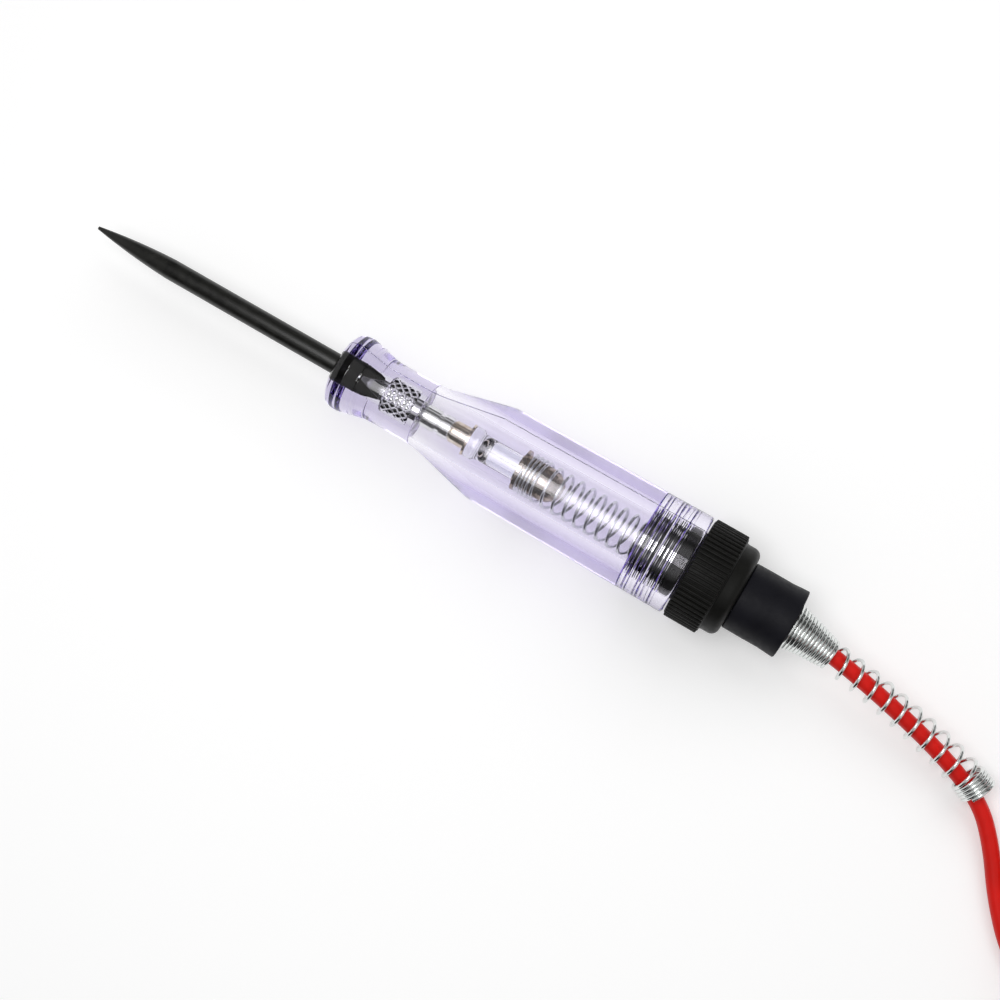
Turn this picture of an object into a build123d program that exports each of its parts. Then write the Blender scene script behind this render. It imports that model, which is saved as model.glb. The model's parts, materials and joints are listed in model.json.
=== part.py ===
from build123d import *
import math
import os

# Circuit test light: a clear handle with a steel probe, a festoon bulb held by a contact spring,
# a screw-on end cap with its sleeve and bend-relief spring, and a lead that ends in a ground clip.
# Millimetres. +X runs from the probe's tip to the cap, +Z is up, and Z = 0 is the bench that the
# tool lies on. The origin is under the middle of the tool, measured without its lead.

# ---- driving dimensions -------------------------------------------------------------------------
running_gap = 0.05          # between faces that meet and slide or turn
free_gap = 0.3              # between curved faces of pieces that move apart

probe_dia = 5.3
probe_exposed = 71.4        # tip to the handle's front face
probe_taper = 22.0          # sharpened length
probe_point_dia = 0.8       # at the blunted tip
taper_belly = 0.35          # how far the ground taper swells
rod_root_dia = 4.9          # turned down inside the plastic, which grips it there
knurl_dia = 6.4             # moulded-in knurl at the rod's rear
knurl_length = 8.0
knurl_start = 14.2          # from the handle's front face to the knurl

handle_length = 97.6
flange_dia = 19.8
flange_front_radius = 2.6   # rounded front edge of the flange
flange_length = 4.6
face_dome = 1.2             # how far the front face bulges
neck_dia = 16.2
neck_start = 15.0           # from the front face
neck_end = 26.0
shoulder_dia = 24.8
flange_round = 4.0
neck_round = 28.0
shoulder_round = 9.0
shoulder_at = 43.6
barrel_dia = 25.8           # the barrel's rear end, after its mould draft
barrel_edge = 0.8

bulb_bore_dia = 13.2
bulb_bore_at = 24.4         # bore's front end, from the front face
thread_bore_dia = 18.4
thread_bore_depth = 12.4

stud_dia = 5.7
stud_waist_dia = 4.8        # groove turned near the stud's rear end
stud_groove = 1.2
stud_groove_from_end = 4.0
stud_chamfer = 0.4
stud_length = 11.2

bulb_cap_dia = 5.6
bulb_cap_length = 4.6
bulb_flange_dia = 8.2
bulb_flange_length = 0.6
bulb_bead_length = 2.6
bulb_glass_dia = 6.6
bulb_glass_wall = 0.5
bulb_glass_length = 13.0
bulb_rear_cap_dia = 7.4
bulb_rear_cap_length = 7.0
bulb_rear_nose = 2.2
bulb_cap_lap = 3.0          # how far the rear cap reaches over the glass
filament_dia = 0.5
filament_span = 6.5
support_wire_dia = 0.45

cup_wall = 0.5
cup_length = 8.6
cup_set_back = 0.6          # cup's front edge behind the rear cap's
cup_flange_dia = 10.6
cup_flange_length = 0.7
cup_nose_length = 2.8

spring_wire = 0.75
spring_outer_dia = 10.8
spring_front_turns = 4      # tight turns behind the cup's flange
spring_front_pitch = 1.25
spring_open_turns = 13
spring_rear_turns = 2       # closed turns on the disc
spring_points = 10          # straight runs in each wound turn

cap_gap = 0.4               # handle's rear face to the cap's ring
ring_stand = 0.1            # ring's surface outside the barrel's
ring_dia = barrel_dia + 2 * ring_stand
ring_length = 9.1
ring_chamfer = 0.7
ridge_count = 60
ridge_depth = 0.45
ridge_groove_share = 0.75    # of half the spacing, measured outside the ring
collar_dia = 22.8
collar_length = 4.2
collar_round = 1.4
cap_neck_dia = 15.0
cap_neck_length = 7.7
spigot_chamfer = 0.7
spigot_bore_dia = 12.0
disc_thickness = 1.2
disc_from_ring = 1.0        # contact disc's front face behind the ring's front face
lead_hole_dia = 5.4
seat_from_ring = 15.3       # relief spring's seat, from the ring's front face

sleeve_length = 13.9
sleeve_wall = 1.0
sleeve_flare = 0.3          # growth of the radius at the open end

lead_dia = 4.0
terminal_dia = 3.4
terminal_length = 6.0

relief_wire = 0.8
relief_root_dia = 12.0
relief_waist_dia = 7.5
relief_end_dia = 9.5
relief_open_turns = 10
relief_end_length = 4.8
relief_cone = 9.6           # close-wound cone outside the sleeve
relief_exit = (0.9, -0.43, 0.0)     # direction in which its last turns face
relief_points = 10          # straight runs in each open turn

coil_middle_dia = 46.0      # stored coil, at the middle of its turns
coil_rings = 3              # turns side by side at the bottom, with two more on them
coil_height = 11.0
coil_centre = (203.7, -23.2)
clip_rear_x = 243.5

clip_length = 48.0
clip_pivot_from_rear = 21.0
clip_width = 8.0
clip_sheet = 0.7
clip_pivot_dia = 2.4
clip_jaw_depth = 4.6        # one jaw's depth at the pivot
clip_nose_depth = 1.9       # one jaw's depth at its tip
lever_top = 11.0            # the lever's rear end above the jaw line
lever_end_at = 8.0          # from the barrel's rear end
lever_depth = 2.4
lever_root_back = 2.5       # from the pivot back to the lever's root
lever_root_rise = 1.2       # lever's root above the jaw's back
clip_bite = 16.0            # toothed length
bite_gap = 0.15             # half the gap between the teeth
clip_back_at = 2.0          # from the pivot forward to the upper jaw's highest point
clip_ear_dia = 6.4          # round the pivot
clip_ear_cut = 0.55         # share of the ear's radius at which its corners are cut
clip_ear_blend = 1.5        # from the ear to the jaw line in front of it
plate_drop = 1.0            # side plates below the jaw line, behind the ear
plate_drop_run = 3.0
plate_rear_drop = 0.6       # and at the barrel
clip_side_gap = 0.2         # between the nested plates
barrel_offset = -1.5        # crimp barrel's axis below the jaw line
clip_teeth = 8
clip_tooth_depth = 0.7
clip_spring_wire = 0.8
clip_spring_dia = 5.6
clip_spring_turns = 4
upper_leg = (-4.4, 5.3)     # the spring's leg under the lever, from the pivot to its end
lower_leg = (-8.5, -3.0)    # and the one on the web
rivet_head_dia = 4.3
grip_wall = 0.8
grip_round = 0.6
grip_length = 7.5
barrel_length = 9.0
barrel_skirt = 2.6          # side plates' rear corner below the barrel's axis
barrel_lap = 1.0            # how far the barrel reaches in between the side plates
barrel_root = 2.0           # its squared end, which joins the side plates
barrel_cheek = 0.6          # share of its radius that the squared end rises to
barrel_seam = 0.6           # where the rolled sheet's edges meet
clip_lift = 0.6             # clip's side above the bench, on its rivet's head

# ---- stations along the axis, from the driving dimensions ---------------------------------------
overall = probe_exposed + handle_length + cap_gap + ring_length + collar_length + sleeve_length
tip_x = -overall / 2
face_x = tip_x + probe_exposed
handle_end_x = face_x + handle_length
ring_x = handle_end_x + cap_gap
collar_x = ring_x + ring_length
neck_x = collar_x + collar_length
sleeve_end_x = neck_x + sleeve_length
bore_x = face_x + bulb_bore_at
counterbore_x = handle_end_x - thread_bore_depth
knurl_x = face_x + knurl_start
rod_end_x = knurl_x + knurl_length
stud_end_x = rod_end_x + stud_length
bulb_x = stud_end_x + running_gap
bead_x = bulb_x + bulb_cap_length + bulb_flange_length
glass_end_x = bead_x + bulb_bead_length + bulb_glass_length
rear_cap_x = glass_end_x - bulb_cap_lap
rear_cap_end_x = rear_cap_x + bulb_rear_cap_length
cup_x = rear_cap_x + cup_set_back
cup_end_x = cup_x + cup_length
disc_x = ring_x + disc_from_ring
terminal_x = disc_x + disc_thickness
lead_x = terminal_x + terminal_length
relief_x = ring_x + seat_from_ring + free_gap
spring_x = cup_x + cup_flange_length + running_gap
spring_end_x = disc_x - running_gap
axis_z = ring_dia / 2

# Lead's route from the terminal, along the relief spring, down to the bench and away to the coil.
lead_route = [
    (lead_x, 0.0, axis_z), (89.0, 0.0, axis_z), (107.0, -0.8, 12.1), (128.0, -4.7, 8.6),
    (145.0, -9.1, 5.7), (157.0, -14.0, 4.1), (164.6, -22.0, 2.6), (171.0, -31.5, 2.0),
    (179.5, -41.0, 2.0), (189.5, -46.8, 2.0),
]
# Its tail, from the top of the coil to the clip's barrel.
tail_route = [
    (coil_centre[0] + 9.0, -45.2, 9.6), (220.5, -45.6, 8.6), (228.5, -44.6, 6.6),
    (235.5, -43.4, 4.9), (242.0, -43.0, clip_lift + clip_width / 2),
    (248.0, -43.0, clip_lift + clip_width / 2),
]
# Middle of the relief spring: straight in the sleeve, then bending with the lead to the bench.
relief_route = [
    (relief_x, 0.0, axis_z), (sleeve_end_x, -0.1, 13.0), (109.7, -1.6, 12.2), (121.2, -3.2, 10.1),
    (133.9, -5.7, 7.7), (146.8, -8.8, 5.8), (154.3, -11.4, 5.1), (157.3, -13.1, 5.0),
]


# ---- the tool -----------------------------------------------------------------------------------
def turned(*lines):
    """A solid turned round the tool's axis from lines drawn as (x, radius)."""
    edges = [edge for line in lines for edge in (Plane.XZ * line).edges()]
    outline = make_face(edges)
    return Pos(0, 0, axis_z) * revolve(outline, Axis.X)


def steps(*points):
    """A closed outline of straight (x, radius) steps."""
    return Polyline(*points, close=True)


def eased(corner, before, after, size):
    """Two points that cut a corner off by the given size, on the way in and on the way out."""
    corner, before, after = Vector(*corner), Vector(*before), Vector(*after)
    return [
        tuple(corner + (before - corner).normalized() * size)[:2],
        tuple(corner + (after - corner).normalized() * size)[:2],
    ]


def eased_outline(points, sizes):
    """An outline with its corners cut off: points, and the size at each corner by its number."""
    line = []
    for number, point in enumerate(points):
        if number in sizes:
            line += eased(point, points[number - 1], points[(number + 1) % len(points)], sizes[number])
        else:
            line.append(point)
    return steps(*line)


def handle_body():
    rod, knurl, stud = rod_root_dia / 2, knurl_dia / 2, stud_dia / 2
    flange, neck, barrel = flange_dia / 2, neck_dia / 2, barrel_dia / 2
    bore, thread = bulb_bore_dia / 2, thread_bore_dia / 2
    outside = FilletPolyline(
        (face_x, rod),
        (face_x + face_dome, flange),
        (face_x + flange_length, flange),
        (face_x + neck_start, neck),
        (face_x + neck_end, neck),
        (face_x + shoulder_at, shoulder_dia / 2),
        (handle_end_x - barrel_edge, barrel),
        radius=[flange_front_radius, flange_round, neck_round, neck_round, shoulder_round],
    )
    inside = Polyline(
        (handle_end_x - barrel_edge, barrel),
        (handle_end_x, barrel - barrel_edge),
        (handle_end_x, thread),
        (counterbore_x, thread),
        (counterbore_x, bore),
        (bore_x, bore),
        (bore_x, stud),
        (rod_end_x, stud),
        (rod_end_x, knurl),
        (knurl_x, knurl),
        (knurl_x, rod),
        (face_x, rod),
    )
    return turned(outside, inside)


def probe_rod():
    rod, root, knurl = probe_dia / 2, rod_root_dia / 2, knurl_dia / 2
    taper_end = tip_x + probe_taper
    point = probe_point_dia / 2
    belly = (tip_x + probe_taper / 2, (rod + point) / 2 + taper_belly)
    return turned(
        Polyline(
            (taper_end, rod), (face_x, rod), (face_x, root), (knurl_x, root), (knurl_x, knurl),
            (rod_end_x, knurl), (rod_end_x, 0),
        ),
        Polyline((rod_end_x, 0), (tip_x, 0), (tip_x, point)),
        ThreePointArc((tip_x, point), belly, (taper_end, rod)),
    )


def contact_stud():
    head, waist = stud_dia / 2, stud_waist_dia / 2
    groove = stud_end_x - stud_groove_from_end
    return turned(steps(
        (rod_end_x, 0), (rod_end_x, head), (groove, head), (groove, waist),
        (groove + stud_groove, waist), (groove + stud_groove, head),
        (stud_end_x - stud_chamfer, head), (stud_end_x, head - stud_chamfer), (stud_end_x, 0),
    ))


def bulb_front_cap():
    cap, flange = bulb_cap_dia / 2, bulb_flange_dia / 2
    cap_end = bulb_x + bulb_cap_length
    return turned(steps(
        (bulb_x, 0), (bulb_x, cap - stud_chamfer), (bulb_x + stud_chamfer, cap), (cap_end, cap),
        (cap_end, flange), (bead_x, flange), (bead_x, 0),
    ))


def bulb_glass():
    bead, glass = bulb_flange_dia / 2, bulb_glass_dia / 2
    hollow = glass - bulb_glass_wall
    tube_x = bead_x + bulb_bead_length
    edge = bulb_glass_wall
    return turned(eased_outline([
        (bead_x, 0), (bead_x, bead), (tube_x, bead), (tube_x, glass), (glass_end_x, glass),
        (glass_end_x, hollow), (tube_x, hollow), (tube_x, 0),
    ], {1: edge, 2: edge}))


def bulb_rear_cap():
    cap, glass = bulb_rear_cap_dia / 2, bulb_glass_dia / 2 + running_gap / 2
    nose = cap / 2
    return turned(steps(
        (rear_cap_x, glass), (rear_cap_x, cap), (rear_cap_end_x, cap),
        (rear_cap_end_x + bulb_rear_nose, nose), (rear_cap_end_x + bulb_rear_nose, 0),
        (glass_end_x + running_gap, 0), (glass_end_x + running_gap, glass),
    ))


def bulb_inside():
    """The filament between its two support wires, on the bulb's axis."""
    wire, coil = support_wire_dia / 2, filament_dia / 2
    front_x = bead_x + bulb_bead_length
    rear_x = glass_end_x + running_gap
    middle = (front_x + rear_x) / 2
    coil_start, coil_end = middle - filament_span / 2, middle + filament_span / 2
    front = turned(steps((front_x, 0), (front_x, wire), (coil_start, wire), (coil_start, 0)))
    rear = turned(steps((coil_end, 0), (coil_end, wire), (rear_x, wire), (rear_x, 0)))
    filament = turned(steps((coil_start, 0), (coil_start, coil), (coil_end, coil), (coil_end, 0)))
    return front, rear, filament


def contact_cup():
    bore = bulb_rear_cap_dia / 2 + running_gap
    tube, flange = bore + cup_wall, cup_flange_dia / 2
    floor_x = rear_cap_end_x + bulb_rear_nose + running_gap
    nose_x = cup_end_x + cup_nose_length
    return turned(eased_outline([
        (cup_x, bore), (cup_x, flange), (cup_x + cup_flange_length, flange),
        (cup_x + cup_flange_length, tube), (cup_end_x, tube), (nose_x, tube / 2), (nose_x, 0),
        (floor_x, 0), (floor_x, bore),
    ], {4: cup_wall * 1.5, 5: cup_wall}))


def contact_spring():
    """Closed end turns as plain bands; between them a few tight turns, then open ones."""
    outer, inner = spring_outer_dia / 2, spring_outer_dia / 2 - spring_wire
    front_end = spring_x + spring_wire
    rear_start = spring_end_x - spring_rear_turns * spring_wire
    bands = [
        turned(steps((start, inner), (start, outer), (end, outer), (end, inner)))
        for start, end in ((spring_x, front_end), (rear_start, spring_end_x))
    ]
    start_x, end_x = front_end - spring_wire / 2, rear_start + spring_wire / 2
    tight = spring_front_turns * spring_front_pitch
    open_pitch = (end_x - start_x - tight) / spring_open_turns
    middle = (outer + inner) / 2
    points = []
    for run in range((spring_front_turns + spring_open_turns) * spring_points + 1):
        turn = run / spring_points
        tight_turns = min(turn, spring_front_turns)
        x = start_x + tight_turns * spring_front_pitch + (turn - tight_turns) * open_pitch
        angle = 2 * math.pi * turn
        points.append((x, middle * math.cos(angle), axis_z + middle * math.sin(angle)))
    path = Polyline(*points)
    start = Plane(origin=path @ 0, x_dir=(path @ 0) - Vector(start_x, 0, axis_z), z_dir=path % 0)
    section = Rectangle(spring_wire - running_gap, spring_wire - running_gap)
    return bands[0] + sweep(start * section, path=path, transition=Transition.RIGHT) + bands[1]


# ---- cap, sleeve and lead end -------------------------------------------------------------------
def contact_disc():
    radius = spigot_bore_dia / 2 - free_gap
    return turned(steps((disc_x, 0), (disc_x, radius), (terminal_x, radius), (terminal_x, 0)))


def lead_terminal():
    radius = terminal_dia / 2
    return turned(steps((terminal_x, 0), (terminal_x, radius), (lead_x, radius), (lead_x, 0)))


def end_cap():
    spigot, bore, hole = thread_bore_dia / 2 - free_gap, spigot_bore_dia / 2, lead_hole_dia / 2
    ring, collar, neck = ring_dia / 2, collar_dia / 2, cap_neck_dia / 2
    spigot_x = counterbore_x + free_gap
    neck_end = neck_x + cap_neck_length
    seat_x = ring_x + seat_from_ring
    seat = relief_root_dia / 2 + free_gap
    shelf_x = terminal_x + running_gap
    body = turned(eased_outline([
        (spigot_x, bore), (spigot_x, spigot), (ring_x, spigot), (ring_x, ring), (collar_x, ring),
        (collar_x, collar), (neck_x, collar), (neck_x, neck), (neck_end, neck), (neck_end, seat),
        (seat_x, seat), (seat_x, hole), (shelf_x, hole), (shelf_x, bore),
    ], {1: spigot_chamfer, 3: ring_chamfer, 4: ring_chamfer, 6: collar_round}))
    width = math.pi * ring_dia / ridge_count * ridge_groove_share
    outside = ring + ridge_depth
    groove = Plane.YZ * Polyline(
        (ring - ridge_depth, 0), (outside, width), (outside, -width), close=True,
    )
    slot = extrude(Pos(ring_x - ring_chamfer, 0, 0) * make_face(groove), ring_length + 2 * ring_chamfer)
    slots = [Pos(0, 0, axis_z) * Rot(X=360 * ridge / ridge_count) * slot for ridge in range(ridge_count)]
    return body - slots


def cap_sleeve():
    bore = cap_neck_dia / 2 + running_gap
    front_x = neck_x + 2 * running_gap
    neck_end = neck_x + cap_neck_length
    lip = sleeve_wall / 3
    return turned(eased_outline([
        (front_x, bore), (front_x, bore + sleeve_wall), (neck_end, bore + sleeve_wall),
        (sleeve_end_x, bore + sleeve_flare + sleeve_wall), (sleeve_end_x, bore + sleeve_flare),
        (neck_end, bore),
    ], {1: lip, 3: lip, 4: lip}))


def relief_spring():
    """Close-wound root, cone and end turns drawn as plain walls, open turns wound between them."""
    line = Spline(*relief_route, tangents=[(1, 0, 0), relief_exit])
    root, waist, end = relief_root_dia / 2, relief_waist_dia / 2, relief_end_dia / 2
    at_sleeve = (sleeve_end_x - relief_x) / line.length
    at_waist = at_sleeve + relief_cone / line.length
    at_end = 1 - relief_end_length / line.length

    lap = relief_wire / 2 / line.length

    def tube(t, radius, length):
        wall = Circle(radius) - Circle(radius - relief_wire)
        return extrude(Plane(origin=line @ t, z_dir=line % t) * wall, length)

    mouth, tail = line @ (at_sleeve - 3 * lap), line @ at_waist
    height = (tail - mouth).length
    wide = root - relief_wire / 2
    cone = Cone(wide, waist, height) - Cone(wide - relief_wire, waist - relief_wire, height)
    cone_place = Plane(origin=(mouth + tail) / 2, z_dir=tail - mouth)
    closed = tube(0, root, at_sleeve * line.length) + cone_place * cone
    last = tube(1, end, -relief_end_length)
    points = []
    for step in range(relief_open_turns * relief_points + 1):
        done = step / (relief_open_turns * relief_points)
        t = at_waist - lap + (at_end - at_waist + 2 * lap) * done
        side = (line % t).cross(Vector(0, 0, 1)).normalized()
        up = side.cross(line % t)
        angle = 2 * math.pi * step / relief_points
        radius = waist + (end - waist) * done - relief_wire / 2
        points.append(line @ t + (side * math.cos(angle) + up * math.sin(angle)) * radius)
    path = Polyline(*points)
    start = Plane(origin=path @ 0, x_dir=(path @ 0) - (line @ (at_waist - lap)), z_dir=path % 0)
    turns = sweep(start * Rectangle(relief_wire, relief_wire), path=path, transition=Transition.RIGHT)
    return closed + turns + last


def round_tube(route, radius):
    """Straight runs joined by tangent arcs, each as large as its two runs allow."""
    points = [Vector(*point) for point in route]
    runs = [b - a for a, b in zip(points, points[1:])]
    radii = []
    for before, after in zip(runs, runs[1:]):
        half_turn = math.radians(before.get_angle(after)) / 2
        radii.append(0.45 * min(before.length, after.length) / math.tan(half_turn))
    path = FilletPolyline(*points, radius=radii)
    tube = sweep(Plane(origin=path @ 0, z_dir=path % 0) * Circle(radius), path=path)
    ideal = math.pi * radius**2 * path.length
    print("runs", [round(run.length, 1) for run in runs], "radii", [round(r, 1) for r in radii])
    print("length", round(path.length, 1), "volume", round(tube.volume, 1), "of", round(ideal, 1))
    return tube


def lead_coil():
    """Outer shape of the stored coil: three turns side by side below, narrowing to the top."""
    middle = coil_middle_dia / 2
    half = coil_rings * lead_dia / 2
    top = coil_height
    edge = lead_dia / 3
    outline = eased_outline([
        (middle - half, 0), (middle + half, 0), (middle + half, lead_dia),
        (middle + half - lead_dia / 2, top), (middle - half + lead_dia / 2, top),
        (middle - half, lead_dia),
    ], {0: edge, 1: edge, 3: edge, 4: edge})
    ring = revolve(make_face(Plane.XZ * outline), Axis.Z)
    return Pos(*coil_centre, 0) * ring


# ---- ground clip --------------------------------------------------------------------------------
# Drawn flat on the bench: x from the wire's barrel to the jaws' tips, y across the jaws, the
# pivot's pin upright. Its origin is on the jaw line at the barrel's rear end.
pivot_at = clip_pivot_from_rear
lever_root = (pivot_at - lever_root_back, clip_jaw_depth + lever_root_rise)
lever_slope = (lever_top - lever_root[1]) / (lever_root[0] - lever_end_at)
clip_place = Pos(clip_rear_x, tail_route[-1][1] - barrel_offset, clip_lift)


def toothed(sign):
    """A jaw's tooth line from its tip back to the last tooth, on the side that sign gives."""
    pitch = clip_bite / clip_teeth
    line = []
    for tooth in range(clip_teeth):
        tip = clip_length - tooth * pitch
        line += [(tip, sign * bite_gap), (tip - pitch / 2, sign * (bite_gap + clip_tooth_depth))]
    return line + [(clip_length - clip_bite, sign * bite_gap)]


def plate(outline, low, high):
    return Pos(0, 0, low) * extrude(make_face(Polyline(*outline, close=True)), high - low)


def block(x_low, x_high, y_low, y_high, low, high):
    return plate([(x_low, y_low), (x_high, y_low), (x_high, y_high), (x_low, y_high)], low, high)


def pivot_hole():
    return Pos(pivot_at, 0, 0) * Cylinder(clip_pivot_dia / 2 + running_gap, 4 * clip_width)


def clip_fixed_jaw():
    """Stamped lower jaw: side plates, web, nose and the barrel that is rolled round the wire."""
    ear = clip_ear_dia / 2
    cut = ear * clip_ear_cut
    edge = [
        (barrel_length, barrel_offset - barrel_skirt), (pivot_at, -clip_jaw_depth),
        (clip_length, -clip_nose_depth),
    ]
    side = edge + toothed(-1) + [
        (pivot_at + ear + clip_ear_blend, -bite_gap), (pivot_at + ear, cut), (pivot_at + cut, ear),
        (pivot_at - cut, ear), (pivot_at - ear, cut), (pivot_at - ear - plate_drop_run, -plate_drop),
        (barrel_length, -plate_rear_drop),
    ]
    web = edge + [(x, y + clip_sheet) for x, y in reversed(edge)]
    jaw = plate(side, 0, clip_sheet) + plate(side, clip_width - clip_sheet, clip_width)
    jaw += plate(web, 0, clip_width)
    jaw += block(clip_length - clip_sheet, clip_length, -clip_nose_depth, -bite_gap, 0, clip_width)
    return clip_place * (jaw + crimp_barrel() - barrel_bore() - pivot_hole())


def crimp_barrel():
    """Rolled barrel with its squared front end, which carries the side plates."""
    outer = lead_dia / 2 + running_gap + clip_sheet
    front, cheek = barrel_length + barrel_lap, outer * barrel_cheek
    along = Plane(origin=(0, barrel_offset, clip_width / 2), z_dir=(1, 0, 0))
    return extrude(along * Circle(outer), front) + block(
        barrel_length - barrel_root, front, barrel_offset - outer, barrel_offset + cheek, 0, clip_width)


def barrel_bore():
    """The wire's bore and the seam over it."""
    bore = lead_dia / 2 + running_gap
    length = barrel_length - clip_sheet
    middle = clip_width / 2
    along = Plane(origin=(0, barrel_offset, middle), z_dir=(1, 0, 0))
    return extrude(along * Circle(bore), length) + block(
        0, length - barrel_root, barrel_offset, barrel_offset + 2 * bore,
        middle - barrel_seam / 2, middle + barrel_seam / 2)


def clip_moving_jaw():
    """Upper jaw that nests between the lower one's plates and runs back into the thumb lever."""
    ear = clip_ear_dia / 2 - free_gap
    cut = ear * clip_ear_cut
    low = clip_sheet + clip_side_gap
    high = clip_width - low
    top = [
        (clip_length, clip_nose_depth), (pivot_at + clip_back_at, clip_jaw_depth), lever_root,
        (lever_end_at, lever_top),
    ]
    side = top + [
        (lever_end_at, lever_top - lever_depth),
        (lever_root[0] - lever_depth, lever_root[1] + (lever_slope - 1) * lever_depth),
        (pivot_at - ear, cut), (pivot_at - ear, -cut), (pivot_at - cut, -ear),
        (pivot_at + cut, -ear), (pivot_at + ear, -cut), (pivot_at + ear + clip_ear_blend, bite_gap),
    ] + list(reversed(toothed(1)))
    web = top + [(x, y - clip_sheet) for x, y in reversed(top)]
    jaw = plate(side, low, low + clip_sheet) + plate(side, high - clip_sheet, high)
    jaw += plate(web, low, high)
    jaw += block(clip_length - clip_sheet, clip_length, bite_gap, clip_nose_depth, low, high)
    return clip_place * (jaw - pivot_hole())


def clip_pivot():
    """Rivet through both jaws, with a flat head on each side."""
    head = Cylinder(rivet_head_dia / 2, clip_lift, align=(Align.CENTER, Align.CENTER, Align.MIN))
    pin = Cylinder(clip_pivot_dia / 2, clip_width, align=(Align.CENTER, Align.CENTER, Align.MIN))
    rivet = pin + Pos(0, 0, -clip_lift) * head + Pos(0, 0, clip_width) * head
    return clip_place * Pos(pivot_at, 0, 0) * rivet


def clip_spring():
    """Torsion spring round the rivet, with a leg under the lever and one on the lower web."""
    outer, wire = clip_spring_dia / 2, clip_spring_wire
    coil_width = clip_spring_turns * wire
    middle, half = outer - wire / 2, (coil_width - wire) / 2
    coil = Cylinder(outer, coil_width) - Cylinder(outer - wire, coil_width)

    def leg(start, end, height):
        path = Line((*start, height), (*end, height))
        return sweep(Plane(origin=path @ 0, z_dir=path % 0) * Rectangle(wire, wire), path=path)

    wound = coil + leg((0, middle), upper_leg, half) + leg((0, -middle), lower_leg, -half)
    return clip_place * Pos(pivot_at, 0, clip_width / 2) * wound


def clip_lever_grip():
    """Soft grip pushed over the lever's rear end."""
    low = clip_sheet + clip_side_gap - grip_wall
    fit = running_gap
    rear_at, front_at = lever_end_at - fit, lever_end_at + grip_length

    def lengthwise(rear, front, spare):
        """Outline round the lever from its rear end to the front, with this much to spare."""
        rise = lever_slope * (front - lever_end_at)
        upper, lower = lever_top + spare, lever_top - lever_depth - spare
        return [(rear, upper), (front, upper - rise), (front, lower - rise), (rear, lower)]

    outer = plate(lengthwise(rear_at - grip_wall, front_at, fit + grip_wall), low, clip_width - low)
    body = fillet(outer.edges().filter_by(Axis.Z), grip_round)
    inner = lengthwise(rear_at, front_at + grip_wall, fit)
    hollow = plate(inner, low + grip_wall - fit, clip_width - low - grip_wall + fit)
    return clip_place * (body - hollow)


def save(name, solid):
    export_step(solid, f"parts/{name}.step")


os.makedirs("parts", exist_ok=True)
save("handle_body", handle_body())
save("probe_rod", probe_rod())
save("contact_stud", contact_stud())
save("bulb_front_cap", bulb_front_cap())
save("bulb_glass", bulb_glass())
save("bulb_rear_cap", bulb_rear_cap())
front_wire, rear_wire, filament = bulb_inside()
save("bulb_front_wire", front_wire)
save("bulb_rear_wire", rear_wire)
save("bulb_filament", filament)
save("contact_cup", contact_cup())
save("contact_spring", contact_spring())
save("contact_disc", contact_disc())
save("lead_terminal", lead_terminal())
save("end_cap", end_cap())
save("cap_sleeve", cap_sleeve())
save("relief_spring", relief_spring())
coil = lead_coil()
save("lead", round_tube(lead_route, lead_dia / 2) - coil)
save("lead_coil", coil)
save("lead_tail", round_tube(tail_route, lead_dia / 2) - coil)
save("clip_fixed_jaw", clip_fixed_jaw())
save("clip_moving_jaw", clip_moving_jaw())
save("clip_pivot", clip_pivot())
save("clip_spring", clip_spring())
save("clip_lever_grip", clip_lever_grip())
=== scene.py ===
import bpy, bmesh
import json
import math
from mathutils import Matrix, Vector


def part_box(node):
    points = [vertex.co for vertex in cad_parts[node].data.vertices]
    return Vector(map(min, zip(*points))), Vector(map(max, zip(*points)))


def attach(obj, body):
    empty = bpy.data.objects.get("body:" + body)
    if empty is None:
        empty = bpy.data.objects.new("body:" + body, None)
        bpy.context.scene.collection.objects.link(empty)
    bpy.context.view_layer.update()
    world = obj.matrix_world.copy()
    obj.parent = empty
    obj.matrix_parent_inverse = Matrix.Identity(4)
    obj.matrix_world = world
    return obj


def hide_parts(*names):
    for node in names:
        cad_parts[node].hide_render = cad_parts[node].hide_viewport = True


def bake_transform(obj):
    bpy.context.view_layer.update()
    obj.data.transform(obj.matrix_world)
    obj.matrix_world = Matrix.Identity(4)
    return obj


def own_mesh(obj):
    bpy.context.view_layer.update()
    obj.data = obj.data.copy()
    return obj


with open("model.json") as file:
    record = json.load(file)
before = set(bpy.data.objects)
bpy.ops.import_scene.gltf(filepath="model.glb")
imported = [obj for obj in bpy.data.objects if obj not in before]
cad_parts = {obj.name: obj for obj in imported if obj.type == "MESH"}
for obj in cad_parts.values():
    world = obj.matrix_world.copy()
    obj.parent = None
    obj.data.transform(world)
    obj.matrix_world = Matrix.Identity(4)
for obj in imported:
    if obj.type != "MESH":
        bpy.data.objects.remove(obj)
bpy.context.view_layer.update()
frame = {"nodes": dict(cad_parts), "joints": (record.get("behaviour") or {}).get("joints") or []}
print("frame loaded:", len(frame["nodes"]), "parts")

mm = 0.001
axisHeight = 13.0 * mm      # the tool's axis above the bench
mergeWithin = 0.002 * mm    # vertices closer than this become one


def station(node, end):
    # a part's lowest (0) or highest (1) place along the tool, in millimetres
    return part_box(node)[end].x / mm


tipX = station("probe_rod", 0)
rodEndX = station("probe_rod", 1)
faceX = station("handle_body", 0)
handleEndX = station("handle_body", 1)
sleeveX = station("cap_sleeve", 0)
sleeveEndX = station("cap_sleeve", 1)


# small helpers for meshes
def linkObject(name, data):
    obj = bpy.data.objects.new(name, data)
    bpy.context.scene.collection.objects.link(obj)
    return obj


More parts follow.
